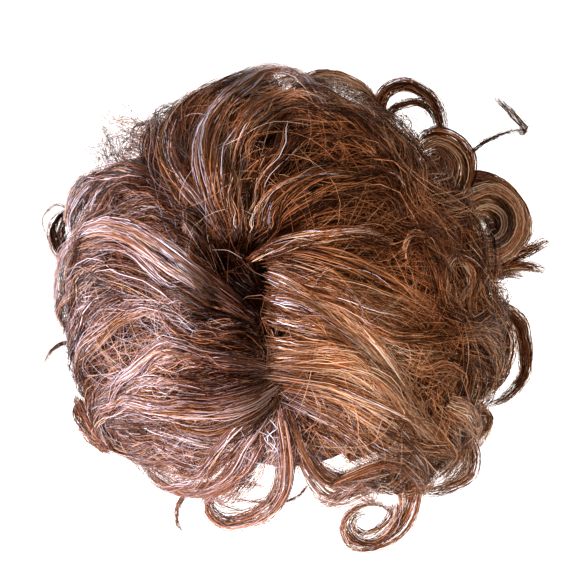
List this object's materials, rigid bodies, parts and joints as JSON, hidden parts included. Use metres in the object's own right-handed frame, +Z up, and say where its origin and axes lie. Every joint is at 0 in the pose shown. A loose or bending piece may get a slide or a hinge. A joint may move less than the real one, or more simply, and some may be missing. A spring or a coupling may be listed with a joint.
{
  "type": "curly wig",
  "caption": "Medium-length curly copper-brown wig on a thin net cap, with wavy locks that sweep from an off-centre parting to loose ring curls round the rim.",
  "frame": {"origin": "inside of the cap's crown, where the wig sits on a head", "axes": "+Z up, -Y the front over the brow, +X the right side seen from above with the front at the bottom"},
  "size_m": [0.2896, 0.2663, 0.2394],
  "materials": {
    "cap_net": "fine dark net",
    "hair_dark": "glossy dark brown hair",
    "hair_brown": "glossy mid brown hair",
    "hair_copper": "glossy copper hair",
    "hair_rose": "glossy light auburn hair"
  },
  "bodies": {
    "root": {"cap": "cap_net", "fringe_left_inner": "hair_brown", "fringe_left_outer": "hair_rose", "copper_wave_left": "hair_copper", "temple_wave_left": "hair_rose", "side_wave_left": "hair_brown", "inner_wave_left": "hair_dark", "big_wave_left": "hair_rose", "back_left_low": "hair_brown", "back_left_fan": "hair_brown", "back_wave_outer": "hair_copper", "back_wave_mid": "hair_brown", "back_wave_inner": "hair_copper", "back_right_fan": "hair_brown", "back_right_lock": "hair_copper", "side_right_back": "hair_brown", "side_right_mid": "hair_brown", "copper_wave_right": "hair_copper", "side_right_front": "hair_copper", "temple_right": "hair_brown", "fringe_right_outer": "hair_copper", "fringe_right_inner": "hair_brown", "fringe_centre": "hair_dark", "ring_back": "hair_dark", "roll_back_right": "hair_brown", "roll_right": "hair_copper", "curl_back": "hair_brown", "tips_right": "hair_copper", "loop_right": "hair_dark", "loop_right_low": "hair_copper", "ring_front": "hair_copper", "loop_front_left": "hair_brown", "loop_small_left": "hair_brown", "flick_front_left": "hair_dark", "flick_left_low": "hair_brown", "flick_left": "hair_dark", "loop_left_back": "hair_dark", "under_lock_01": "hair_brown", "under_lock_02": "hair_copper", "under_lock_03": "hair_brown", "under_lock_04": "hair_copper", "under_lock_05": "hair_brown", "under_lock_06": "hair_copper", "under_lock_07": "hair_brown", "under_lock_08": "hair_copper", "under_lock_09": "hair_brown", "under_lock_10": "hair_copper", "under_lock_11": "hair_brown", "under_lock_12": "hair_copper", "under_lock_13": "hair_brown"}
  },
  "joints": []
}
